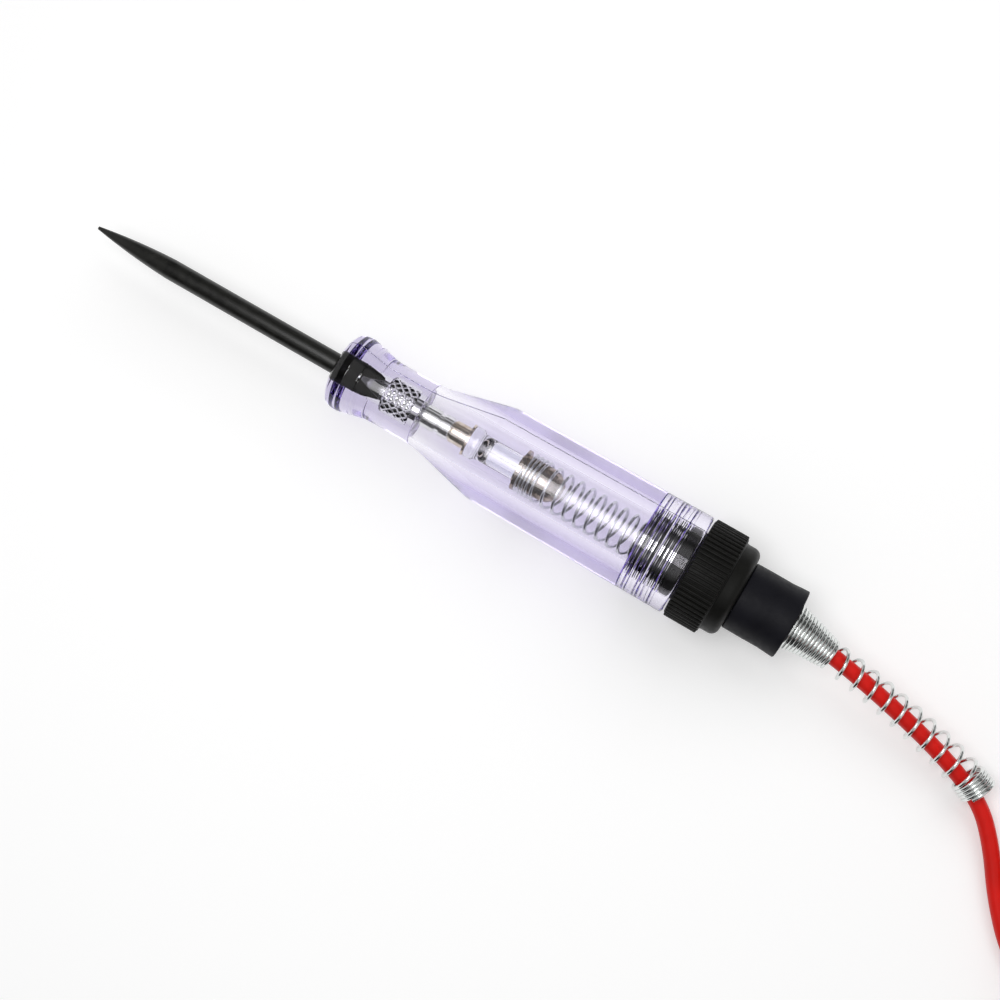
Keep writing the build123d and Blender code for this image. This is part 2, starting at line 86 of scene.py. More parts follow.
def finishPiece(name, bm, material, body, standsFor, sharp=40):
    # sharp is the angle in degrees past which an edge isn't smoothed
    bmesh.ops.remove_doubles(bm, verts=bm.verts, dist=mergeWithin)
    bmesh.ops.recalc_face_normals(bm, faces=bm.faces)
    mesh = bpy.data.meshes.new(name)
    bm.to_mesh(mesh)
    bm.free()
    mesh.materials.append(material)
    mesh.shade_smooth()
    mesh.set_sharp_from_angle(angle=math.radians(sharp))
    obj = linkObject(name, mesh)
    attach(obj, body)
    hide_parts(*standsFor)
    return obj


def rounded(corners, steps=6):
    # (x, radius) corners in millimetres; a third number rounds that corner with an arc
    line = []
    for number, corner in enumerate(corners):
        here = Vector(corner[:2])
        if len(corner) == 2:
            line.append(here)
            continue
        back = (Vector(corners[number - 1][:2]) - here).normalized()
        on = (Vector(corners[(number + 1) % len(corners)][:2]) - here).normalized()
        half = back.angle(on) / 2
        middle = here + (back + on).normalized() * corner[2] / math.sin(half)
        first = here + back * corner[2] / math.tan(half) - middle
        last = here + on * corner[2] / math.tan(half) - middle
        line += [middle + first.slerp(last, step / steps) * corner[2] for step in range(steps + 1)]
    return line


def turn(bm, outline, steps, closed=True):
    # spins an outline of (x, radius) millimetres round the tool's axis
    ring = [bm.verts.new((x * mm, 0, axisHeight + radius * mm)) for x, radius in outline]
    follow = ring[1:] + ring[:1] if closed else ring[1:]
    edges = [bm.edges.new(pair) for pair in zip(ring, follow)]
    bmesh.ops.spin(bm, geom=ring + edges, cent=(0, 0, axisHeight), axis=(1, 0, 0),
                   angle=math.tau, steps=steps, use_merge=True, use_duplicate=False)


def around(vert):
    # a vertex's angle round the tool's axis, and its distance from it
    side, up = vert.co.y, vert.co.z - axisHeight
    return math.atan2(side, up), math.hypot(side, up)


def setRadius(vert, angle, radius):
    vert.co.y = radius * math.sin(angle)
    vert.co.z = axisHeight + radius * math.cos(angle)


# small helpers for materials
def newMaterial(name):
    material = bpy.data.materials.new(name)
    material.use_nodes = True
    material.node_tree.nodes.clear()
    return material, material.node_tree


def addNode(tree, kind, sockets=None, **settings):
    # sockets take a value, or another node's output
    made = tree.nodes.new("ShaderNode" + kind)
    for setting, value in settings.items():
        setattr(made, setting, value)
    for socket, value in (sockets or {}).items():
        if isinstance(value, bpy.types.NodeSocket):
            tree.links.new(value, made.inputs[socket])
        else:
            made.inputs[socket].default_value = value
    return made


def calculate(tree, operation, *values, **settings):
    return addNode(tree, "Math", dict(enumerate(values)), operation=operation, **settings).outputs[0]


def coordinates(tree, stretch=(1, 1, 1)):
    place = addNode(tree, "TexCoord")
    return addNode(tree, "Mapping", {"Vector": place.outputs["Object"], "Scale": stretch}).outputs[0]


def noise(tree, vector, scale, detail, roughness=0.5):
    return addNode(tree, "TexNoise", {"Vector": vector, "Scale": scale, "Detail": detail,
                                      "Roughness": roughness}).outputs["Fac"]


def spread(tree, value, low, high, fromLow=0.3, fromHigh=0.7):
    # stretches a part of a value's range over another range
    return addNode(tree, "MapRange", {"Value": value, "From Min": fromLow, "From Max": fromHigh,
                                      "To Min": low, "To Max": high}).outputs[0]


def mixColour(tree, factor, first, second):
    # a Mix node's sockets share their names: 0 is the factor, 6 and 7 are its colours and 2 is the mixed one
    first, second = (colour if isinstance(colour, bpy.types.NodeSocket) else (*colour, 1)
                     for colour in (first, second))
    return addNode(tree, "Mix", {0: factor, 6: first, 7: second}, data_type="RGBA").outputs[2]


def bump(tree, height, depth, strength):
    return addNode(tree, "Bump", {"Height": height, "Distance": depth, "Strength": strength}).outputs[0]


def principled(tree, sockets):
    return addNode(tree, "BsdfPrincipled", sockets).outputs[0]


def finishMaterial(tree, shader, volume=None):
    out = addNode(tree, "OutputMaterial", {"Surface": shader})
    if volume:
        tree.links.new(volume, out.inputs["Volume"])


# camera, lamps and floor
camera = {
    "lookAt": (24.1 * mm, -8.8 * mm, 13.1 * mm), "distance": 384 * mm, "tilt": 8, "roll": 30,
    "lens": 57.6, "sensor": 36, "nearest": 0.01, "furthest": 20,
}


def addCamera():
    data = bpy.data.cameras.new("camera")
    data.lens = camera["lens"]
    data.sensor_width = camera["sensor"]
    data.clip_start, data.clip_end = camera["nearest"], camera["furthest"]
    obj = linkObject("camera", data)
    # looks down at the bench, leans towards the cap and turns about its own line of sight
    tilt = Matrix.Rotation(math.radians(camera["tilt"]), 4, "Y")
    aim = tilt @ Matrix.Rotation(math.radians(camera["roll"]), 4, "Z")
    away = aim @ Vector((0, 0, camera["distance"]))
    obj.matrix_world = Matrix.Translation(Vector(camera["lookAt"]) + away) @ aim
    bpy.context.scene.camera = obj


lamps = [
    {"name": "benchLamp", "at": (-0.030, -0.022, 0.46), "aim": (-0.030, -0.022, 0),
     "sizes": (0.180, 0.23), "power": 0.65, "mirrored": True},
    {"name": "windowLamp", "at": (0.15, 0.75, 0.75), "aim": (0.03, 0, 0),
     "sizes": (0.8, 0.8), "power": 3.6, "mirrored": False},
]


def addLamp(lamp):
    data = bpy.data.lights.new(lamp["name"], "AREA")
    data.energy = lamp["power"]
    data.shape = "RECTANGLE"
    data.size, data.size_y = lamp["sizes"]
    obj = linkObject(lamp["name"], data)
    # a lamp that isn't mirrored lights the tool without showing in its gloss
    obj.visible_glossy = obj.visible_transmission = lamp["mirrored"]
    aim = Vector(lamp["aim"]) - Vector(lamp["at"])
    obj.matrix_world = Matrix.Translation(lamp["at"]) @ aim.to_track_quat("-Z", "Y").to_matrix().to_4x4()


def seenRays(tree, kinds):
    # one where a ray of these kinds reaches the surface
    path = addNode(tree, "LightPath")
    total = path.outputs[kinds[0]]
    for kind in kinds[1:]:
        total = calculate(tree, "MAXIMUM", total, path.outputs[kind])
    return total


studio = {
    "plain": 0.44,
    # what gloss and clear plastic see above the bench: degrees from straight up across the tool, brightness
    "across": [(-90, 0.02), (-50, 0.02), (-36, 0.66), (31, 0.66), (40, 0.05), (58, 0.05), (63, 0.55),
               (72, 0.55), (77, 0.02), (90, 0.02)],
    # how far that light reaches towards the tool's point, and its share past there
    "edge": (-0.300, -0.280), "pastEdge": 0.02,
    # bright walls past the tool's point and past its cap: where they start, are full, brightness
    "farEnd": (0.45, 0.75, 0.80), "nearEnd": (0.80, 0.95, 0.70),
}


def addWorld():
    sky = bpy.data.worlds.new("studio")
    bpy.context.scene.world = sky
    sky.use_nodes = True
    tree = sky.node_tree
    tree.nodes.clear()
    direction = addNode(tree, "TexCoord").outputs["Generated"]
    parts = addNode(tree, "SeparateXYZ", {"Vector": direction}).outputs
    turned = calculate(tree, "ARCTAN2", parts["Y"], parts["Z"])
    place = calculate(tree, "MULTIPLY_ADD", turned, 1 / math.pi, 0.5)
    ramp = addNode(tree, "ValToRGB", {"Fac": place})
    stops = ramp.color_ramp.elements
    for number, (degrees, level) in enumerate(studio["across"]):
        along = degrees / 180 + 0.5
        stop = stops[number] if number < 2 else stops.new(along)        # a new ramp has two stops already
        stop.position = along
        stop.color = (level, level, level, 1)
    start, full, level = studio["farEnd"]
    farWall = spread(tree, parts["X"], level, 0.0, -full, -start)
    start, full, level = studio["nearEnd"]
    nearWall = spread(tree, parts["X"], 0.0, level, start, full)
    inside = spread(tree, parts["X"], studio["pastEdge"], 1.0, *studio["edge"])
    overhead = calculate(tree, "MULTIPLY", ramp.outputs["Color"], inside)
    seen = calculate(tree, "MAXIMUM", overhead, calculate(tree, "MAXIMUM", farWall, nearWall))
    # the tool is lit by a plain sky, mirrors the bright walls, and stands before white
    plain, dome, white = (addNode(tree, "Background", {"Color": (1, 1, 1, 1), "Strength": level}).outputs[0]
                          for level in (studio["plain"], seen, 1.0))
    glossy = seenRays(tree, ("Is Glossy Ray", "Is Transmission Ray"))
    both = addNode(tree, "MixShader", {0: glossy, 1: plain, 2: dome}).outputs[0]
    every = addNode(tree, "MixShader", {0: seenRays(tree, ("Is Camera Ray",)), 1: both, 2: white}).outputs[0]
    addNode(tree, "OutputWorld", {"Surface": every})


bench = {"size": 6.0, "colour": (0.82, 0.82, 0.82, 1), "glow": 0.28}


def addBench():
    bm = bmesh.new()
    bmesh.ops.create_grid(bm, x_segments=1, y_segments=1, size=bench["size"] / 2)
    mesh = bpy.data.meshes.new("benchTop")
    bm.to_mesh(mesh)
    bm.free()
    material, tree = newMaterial("benchWhite")
    paint = addNode(tree, "BsdfDiffuse", {"Color": bench["colour"]})
    seen = seenRays(tree, ("Is Camera Ray", "Is Glossy Ray", "Is Transmission Ray"))
    strength = calculate(tree, "MULTIPLY", seen, bench["glow"])
    glow = addNode(tree, "Emission", {"Color": (1, 1, 1, 1), "Strength": strength})
    both = addNode(tree, "AddShader", {0: paint.outputs[0], 1: glow.outputs[0]})
    finishMaterial(tree, both.outputs[0])
    mesh.materials.append(material)
    linkObject("benchTop", mesh)


addCamera()
addWorld()
for lamp in lamps:
    addLamp(lamp)
addBench()
scene = bpy.context.scene
scene.view_settings.view_transform = "Standard"
scene.cycles.max_bounces = 40               # light runs a long way inside clear plastic
scene.cycles.glossy_bounces = 32
scene.cycles.transmission_bounces = 32
print("camera, lamps and floor done")


# materials
# the plastic's tint deepens with its thickness; lets is the light that gets through to what lies inside
clearLook = {"tint": (0.28, 0.09, 0.77, 1), "density": 18.0,
             "refraction": 1.49, "lets": (0.97, 0.96, 0.99, 1)}
glassLook = {"tint": (0.98, 1.0, 0.99, 1), "refraction": 1.5, "lets": (0.94, 0.96, 0.95, 1)}


def seeThrough(tree, look, sockets):
    # clear for the eye, and lets lamps shine through it onto what it holds
    body = principled(tree, {"Transmission Weight": 1.0, "IOR": look["refraction"], **sockets})
    lets = addNode(tree, "BsdfTransparent", {"Color": look["lets"]}).outputs[0]
    rays = seenRays(tree, ("Is Shadow Ray", "Is Diffuse Ray"))
    return addNode(tree, "MixShader", {0: rays, 1: body, 2: lets}).outputs[0]


def makeClearPlastic():
    material, tree = newMaterial("clearPlastic")
    smudge = noise(tree, coordinates(tree), scale=90, detail=2)
    gloss = spread(tree, smudge, 0.0, 0.05, fromLow=0.5, fromHigh=0.8)
    flow = noise(tree, coordinates(tree, (0.35, 1, 1)), scale=160, detail=2)
    shader = seeThrough(tree, clearLook, {"Base Color": (1, 1, 1, 1), "Roughness": gloss,
                                          "Normal": bump(tree, flow, depth=0.02 * mm, strength=0.35)})
    violet = addNode(tree, "VolumeAbsorption", {"Color": clearLook["tint"], "Density": clearLook["density"]})
    finishMaterial(tree, shader, violet.outputs[0])
    return material


def makeClearGlass():
    material, tree = newMaterial("clearGlass")
    ripple = noise(tree, coordinates(tree), scale=500, detail=1)
    shader = seeThrough(tree, glassLook, {"Base Color": glassLook["tint"], "Roughness": 0.0,
                                          "Normal": bump(tree, ripple, depth=0.01 * mm, strength=0.3)})
    finishMaterial(tree, shader)
    return material


def makeMetal(name, colour, dull, rough, grain=(1, 1, 1), scratch=0.01 * mm, spots=0.25):
    # metal with a cloudy finish, fine scratches along its grain and a few dull spots
    material, tree = newMaterial(name)
    cloud = noise(tree, coordinates(tree), scale=350, detail=4, roughness=0.6)
    hue = mixColour(tree, spread(tree, cloud, 0.0, spots, fromLow=0.45, fromHigh=0.75), colour, dull)
    gloss = spread(tree, cloud, rough * 0.7, rough * 1.5)
    lines = noise(tree, coordinates(tree, grain), scale=2600, detail=3, roughness=0.7)
    body = principled(tree, {"Base Color": hue, "Metallic": 1.0, "Roughness": gloss,
                             "Normal": bump(tree, lines, scratch, strength=0.5)})
    finishMaterial(tree, body)
    return material


def makePlastic(name, colour, pale, rough, grainDepth=0.03 * mm, grainScale=1400, shine=0.5):
    # moulded plastic or rubber: fine grain, and clouds in its colour and gloss
    material, tree = newMaterial(name)
    place = coordinates(tree)
    hue = mixColour(tree, spread(tree, noise(tree, place, scale=160, detail=4), 0.0, 1.0), colour, pale)
    gloss = spread(tree, noise(tree, place, scale=700, detail=3), rough * 0.85, rough * 1.15)
    grain = noise(tree, place, grainScale, detail=3, roughness=0.6)
    body = principled(tree, {"Base Color": hue, "Roughness": gloss, "Specular IOR Level": shine,
                             "Normal": bump(tree, grain, grainDepth, strength=0.6)})
    finishMaterial(tree, body)
    return material


clearPlastic = makeClearPlastic()
clearGlass = makeClearGlass()
platedSteel = makeMetal("platedSteel", (0.80, 0.81, 0.80), (0.55, 0.55, 0.52), 0.13, grain=(0.1, 1, 1))
springSteel = makeMetal("springSteel", (0.78, 0.80, 0.79), (0.45, 0.46, 0.44), 0.15)
bulbBrass = makeMetal("bulbBrass", (0.80, 0.74, 0.62), (0.42, 0.26, 0.12), 0.18, spots=0.8)
cupMetal = makeMetal("cupMetal", (0.46, 0.40, 0.33), (0.16, 0.11, 0.07), 0.20, spots=0.9)
tungsten = makeMetal("tungsten", (0.40, 0.39, 0.38), (0.25, 0.24, 0.23), 0.35)
clipSteel = makeMetal("clipSteel", (0.74, 0.75, 0.74), (0.50, 0.50, 0.47), 0.22,
                      grain=(0.15, 1, 1), scratch=0.02 * mm)
blackPlastic = makePlastic("blackPlastic", (0.0045, 0.0045, 0.004), (0.008, 0.008, 0.007), 0.42, shine=0.14)
blackSleeve = makePlastic("blackSleeve", (0.004, 0.004, 0.0065), (0.0075, 0.0075, 0.011), 0.50,
                          grainDepth=0.02 * mm, grainScale=900, shine=0.15)
redPlastic = makePlastic("redPlastic", (0.74, 0.009, 0.005), (0.63, 0.008, 0.004), 0.38,
                         grainDepth=0.015 * mm, grainScale=900, shine=0.25)
redVinyl = makePlastic("redVinyl", (0.56, 0.020, 0.015), (0.46, 0.016, 0.012), 0.42, grainScale=700)
print("materials done")


# lead: one wire from the cap, along the relief spring, to the stored coil and the clip
lead = {
    "diameter": 4.0 * mm, "length": 0.91, "exit": (98.3 * mm, 0, axisHeight),
    # points in millimetres, before and after the coil
    "start": [(79.3, 0.0, 13.0), (89.0, 0.0, 13.0), (107.0, -0.8, 12.1), (128.0, -4.7, 8.6),
              (145.0, -9.1, 5.7), (157.0, -14.0, 4.1), (164.6, -22.0, 2.6), (171.0, -31.5, 2.0),
              (179.5, -41.0, 2.0)],
    "end": [(212.7, -45.6, 9.6), (220.5, -45.8, 8.6), (228.5, -44.6, 6.6), (235.5, -43.4, 4.9),
            (242.0, -43.0, 4.6), (248.0, -43.0, 4.6)],
}
storedCoil = {
    "centre": (203.7, -23.2), "firstAngle": -121, "pointsPerTurn": 16,
    "radii": [27, 23, 19, 21, 25, 23],              # of each turn, and of the way out
    "heights": [2.0, 2.0, 2.0, 5.46, 5.46, 8.92],
    "sideStep": (0.64, 0.36), "upperSideStep": (0.8, 0.2), "climb": (0.65, 0.2),
}


def easedStep(share, start, span):
    # 0 before the start, 1 after the span, smooth between
    x = min(max((share - start) / span, 0), 1)
    return x * x * (3 - 2 * x)


def coilPoints():
    # neat turns, three side by side and two on them, each stepping to the next near its end
    each = storedCoil["pointsPerTurn"]
    centre = storedCoil["centre"]
    radii, heights = storedCoil["radii"], storedCoil["heights"]
    outside = 1 / math.cos(math.pi / each)          # a spline's line runs inside its points
    points = []
    for step in range((len(radii) - 1) * each + 1):
        number = min(step // each, len(radii) - 2)
        share = step / each - number
        climbs = heights[number + 1] > heights[number]
        side = easedStep(share, *storedCoil["upperSideStep" if climbs else "sideStep"])
        radius = (radii[number] + (radii[number + 1] - radii[number]) * side) * outside
        climb = easedStep(share, *storedCoil["climb"])
        height = heights[number] + (heights[number + 1] - heights[number]) * climb
        angle = math.radians(storedCoil["firstAngle"] + 360 * step / each)
        points.append((centre[0] + radius * math.cos(angle), centre[1] + radius * math.sin(angle), height))
    return points


def splineObject(name, points, radius, detail=8, ringDetail=6):
    # a smooth NURBS line through millimetre points, with a round section if it has a radius
    curve = bpy.data.curves.new(name, "CURVE")
    curve.dimensions = "3D"
    spline = curve.splines.new("NURBS")
    spline.points.add(len(points) - 1)
    for place, point in zip(spline.points, points):
        place.co = (point[0] * mm, point[1] * mm, point[2] * mm, 1)
    spline.order_u = 3
    spline.use_endpoint_u = True
    curve.resolution_u = detail
    curve.bevel_depth = radius
    curve.bevel_resolution = ringDetail
    curve.use_fill_caps = True
    return linkObject(name, curve)


leadPoints = lead["start"] + coilPoints() + lead["end"]
leadWire = splineObject("leadWire", leadPoints, lead["diameter"] / 2)
leadWire.data.materials.append(redPlastic)
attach(leadWire, "lead_end")
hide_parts("lead", "lead_coil", "lead_tail")
print("lead done")


# relief spring: close-wound in the sleeve and a little past it, then open, tight again at its end
relief = {
    "wire": 0.92, "turnPoints": 20,
    "route": [(86.7, 0, 13), (98.3, -0.1, 13.0), (109.7, -1.6, 12.2), (121.2, -3.2, 10.1),
              (133.9, -5.7, 7.7), (146.8, -8.8, 5.8), (154.3, -11.4, 5.1), (157.3, -13.1, 5.0)],
    # along the spring in millimetres: where each stretch ends, its radius there and its turns
    "stretches": [(11.6, 5.53, 11.95), (22.9, 3.41, 12.5), (66.0, 4.04, 9.95), (70.6, 4.23, 5.0)],
    "firstRadius": 5.53,
}


def splineMesh(points, radius=0.0, detail=24, ringDetail=0):
    # the same line as a plain mesh, with no object left behind
    guide = splineObject("guide", points, radius, detail, ringDetail)
    mesh = bpy.data.meshes.new_from_object(guide.evaluated_get(bpy.context.evaluated_depsgraph_get()))
    bpy.data.objects.remove(guide)
    return mesh


def readLine(points):
    # points close together along the route's own NURBS line, with how far along each lies
    mesh = splineMesh(points)
    line = [vert.co / mm for vert in mesh.vertices]
    bpy.data.meshes.remove(mesh)
    far = [0.0]
    for a, b in zip(line, line[1:]):
        far.append(far[-1] + (b - a).length)
    return line, far


def placeOn(line, far, distance):
    # the point and direction that lie this far along the line
    number = 0
    while number < len(far) - 2 and far[number + 1] < distance:
        number += 1
    start, end = line[number], line[number + 1]
    share = (distance - far[number]) / (far[number + 1] - far[number])
    return start.lerp(end, share), (end - start).normalized()


def addReliefSpring():
    line, far = readLine(relief["route"])
    points = []
    begin, radius, turns = 0.0, relief["firstRadius"], 0.0
    for end, nextRadius, count in relief["stretches"]:
        steps = round(count * relief["turnPoints"])
        for step in range(steps):
            share = step / steps
            place, ahead = placeOn(line, far, begin + (end - begin) * share)
            side = Vector((0, 0, 1)).cross(ahead).normalized()
            up = ahead.cross(side)
            angle = math.tau * (turns + count * share)
            reach = radius + (nextRadius - radius) * share
            points.append(place + (side * math.cos(angle) + up * math.sin(angle)) * reach)
        begin, radius, turns = end, nextRadius, turns + count
    spring = splineObject("reliefSpring", points, relief["wire"] / 2 * mm, detail=2, ringDetail=3)
    spring.data.materials.append(springSteel)
    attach(spring, "lead_end")
    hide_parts("relief_spring")
    return spring


reliefSpring = addReliefSpring()
print("relief spring done")


# clip spring: wound round the rivet, one leg on the fixed jaw's web and one under the lever
clipWire = {
    "wire": 0.7, "radius": 2.4, "turns": 3, "turnPoints": 20,
    "rise": 1.2,                # from its middle to either leg, along the rivet
    "lowerLeg": (-8.5, -3.0), "upperLeg": (-4.4, 5.3),
}


def addClipSpring():
    wire, radius, rise = clipWire["wire"], clipWire["radius"], clipWire["rise"]
    lowerLeg, upperLeg = clipWire["lowerLeg"], clipWire["upperLeg"]
    pivot = Vector(next(joint["pos_m"] for joint in frame["joints"] if joint["name"] == "clip_open"))
    # each leg leaves the coil along its tangent
    first, last = (math.atan2(leg[1], leg[0]) + side * math.acos(radius / math.hypot(*leg))
                   for leg, side in ((lowerLeg, 1), (upperLeg, -1)))
    last += math.tau * clipWire["turns"]
    steps = round((last - first) / math.tau * clipWire["turnPoints"])
    reach = radius / math.cos(math.pi / clipWire["turnPoints"])     # a spline's line runs inside its points
    points = [Vector((*lowerLeg, -rise))]
    for step in range(steps + 1):
        angle = first + (last - first) * step / steps
        along = rise * (2 * step / steps - 1)
        points.append(Vector((reach * math.cos(angle), reach * math.sin(angle), along)))
    points.append(Vector((*upperLeg, rise)))
    mesh = splineMesh([point + pivot / mm for point in points], wire / 2 * mm, detail=3, ringDetail=3)
    spring = linkObject("clipSpring", mesh)
    mesh.materials.append(springSteel)
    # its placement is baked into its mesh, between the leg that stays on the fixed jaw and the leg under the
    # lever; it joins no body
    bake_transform(spring)
    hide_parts("clip_spring")
    return spring


clipSpring = addClipSpring()
print("clip spring done")


# handle: clear plastic moulded round the rod, with the bulb's bore and the cap's thread
handle = {
    # places are millimetres from its front face, and the rest are radii where their names don't say more
    "dome": 30.0, "face": 8.2, "faceRings": 8,
    "flange": [(1.85, 9.3, 0.6), (3.2, 9.82, 1.5), (5.0, 9.9, 0.8)],     # place, radius, rounding
    "ringAt": 8.4, "ringHalfWidth": 0.45, "ringHeight": 0.16, "ringRound": 0.35, "ringHold": 1.2,
    "neck": 8.1, "neckFrom": 12.6, "neckTo": 26.0, "neckRounds": (12.0, 28.0),
    "shoulder": 12.4, "shoulderAt": 43.6, "shoulderRound": 9.0, "barrel": 12.9, "endRound": 0.8,
    "bore": 6.6, "boreAt": 24.4, "boreRound": 0.3, "stud": 2.85,     # the bulb's bore, the stud in its floor
    # the cap's thread, and the step between it and the bulb's bore
    "crest": 9.2, "threadDepth": 12.4, "turns": 9, "pitch": 1.0, "cut": 0.36, "mouth": 9.3,
    "flanks": (0.05, 0.28, 0.62, 0.88),         # shares of a turn where its flanks start and end
    "uneven": 0.25, "unevenStep": 2.3,          # some turns are cut shallower than others
    "step": (0.4, 8.9),
    # the seam starts on the front face and isn't raised in the bore, which has this depth and radius
    "seamAngle": 42, "seamWidth": 0.20, "seamHeight": 0.12, "seamFrom": 7.3, "seamBore": (14.0, 9.86),
    "steps": 144,
}


def handleRing():
    # a faint ring on the slope behind the flange; its outer points keep the slope's shading straight
    slopeX, slopeRadius = handle["flange"][-1][:2]
    fall = (slopeRadius - handle["neck"]) / (handle["neckFrom"] - slopeX)
    ring = []
    for side in (-handle["ringHold"], -1, 0, 1, handle["ringHold"]):
        along = handle["ringAt"] + side * handle["ringHalfWidth"]
        radius = slopeRadius - (along - slopeX) * fall
        if side == 0:
            ring.append((faceX + along, radius + handle["ringHeight"], handle["ringRound"]))
        else:
            ring.append((faceX + along, radius))
    return ring


def handleThread(threadX):
    # each turn: in along one flank, a flat crest, out along the other; some are cut deeper than others
    crest, thread = handle["crest"], []
    for number in range(handle["turns"], 0, -1):
        start = threadX + number * handle["pitch"]
        wave = math.sin(handle["unevenStep"] * number)
        deep = crest + handle["cut"] * (1 - handle["uneven"] + handle["uneven"] * wave)
        thread += [Vector((start - share * handle["pitch"], radius))
                   for share, radius in zip(handle["flanks"], (deep, crest, crest, deep))]
    return thread


def handleOutline():
    threadX = handleEndX - handle["threadDepth"]
    boreX = faceX + handle["boreAt"]
    # the front face is part of a sphere
    dome, rings = handle["dome"], handle["faceRings"]
    face = [(faceX + dome - math.sqrt(dome ** 2 - radius ** 2), radius)
            for radius in (handle["face"] * ring / rings for ring in range(rings + 1))]
    flange = [(faceX + along, radius, edge) for along, radius, edge in handle["flange"]]
    outside = rounded(face + flange + handleRing() + [
        (faceX + handle["neckFrom"], handle["neck"], handle["neckRounds"][0]),
        (faceX + handle["neckTo"], handle["neck"], handle["neckRounds"][1]),
        (faceX + handle["shoulderAt"], handle["shoulder"], handle["shoulderRound"]),
        (handleEndX, handle["barrel"], handle["endRound"]), (handleEndX, handle["mouth"]),
        (threadX + handle["turns"] * handle["pitch"], handle["mouth"]),
    ], steps=10)
    stepX = threadX - handle["step"][0]
    inside = rounded([
        (threadX, handle["crest"] + handle["cut"]), (stepX, handle["step"][1]), (stepX, handle["bore"]),
        (boreX, handle["bore"], handle["boreRound"]), (boreX, handle["stud"]), (boreX, 0),
    ])
    return outside + handleThread(threadX) + inside


def addHandle():
    bm = bmesh.new()
    turn(bm, handleOutline(), handle["steps"], closed=False)
    # moulding seam: three cuts close together, the middle one raised on the outside
    angle = math.radians(handle["seamAngle"])
    across = Vector((0, math.cos(angle), -math.sin(angle)))
    for offset in (-1, 0, 1):
        lift = offset * handle["seamWidth"] / 2 * mm
        bmesh.ops.bisect_plane(bm, geom=bm.verts[:] + bm.edges[:] + bm.faces[:], dist=1e-7,
                               plane_co=Vector((0, 0, axisHeight)) + across * lift, plane_no=across)
    boreDepth, boreRadius = handle["seamBore"]
    for vert in bm.verts:
        at, radius = around(vert)
        onMiddle = abs(radius * math.sin(at - angle)) < handle["seamWidth"] / 8 * mm
        inBore = radius < boreRadius * mm and vert.co.x > (handleEndX - boreDepth) * mm
        if onMiddle and radius > handle["seamFrom"] * mm and not inBore:
            setRadius(vert, at, radius + handle["seamHeight"] * mm)
    finishPiece("handleShell", bm, clearPlastic, "handle", ["handle_body"], 28)


addHandle()
print("handle done")


# probe: ground point, plain shank and the knurled root in the plastic
probe = {
    "shank": 2.65, "root": 2.6, "step": 0.4,    # radii outside and inside the handle, and the length between
    "point": 0.4, "taper": 22.0, "belly": 0.35, "taperRings": 16,
    "knurl": 3.2, "knurlLength": 8.0, "knurlDepth": 0.24, "knurlFlat": 0.42, "diamonds": 12,
    "diamondLength": 2.2, "endChamfer": 0.5, "endSlope": 0.8, "rows": 64, "steps": 144,
}
oxide = {
    # how far the black reaches from the handle's front face, and how its edge runs round the rod: plating
    # tongues reach forward on top and at every quarter turn, placed by the angle round the rod as a painted
    # reflection
    "ends": 10.2, "paintedReflectionTongues": 3.0, "paintedReflectionRound": 4.0, "ragged": 3.2, "edge": 0.1,
    # what stays black of the knurl: the diamonds' flat tops where they lie between the tongues round the rod;
    # that black at the diagonals is painted shade
    "flats": (0.60, 0.70), "sides": (0.0, 0.4), "paintedShadeRagged": 0.6, "knurlEdge": 0.05,
    "black": (0.003, 0.003, 0.0025), "pale": (0.009, 0.009, 0.007), "blackGloss": (0.28, 0.40),
    "worn": (0.07, 0.07, 0.06), "wornShare": 0.3, "plating": (0.82, 0.83, 0.82), "platingGloss": 0.10,
}


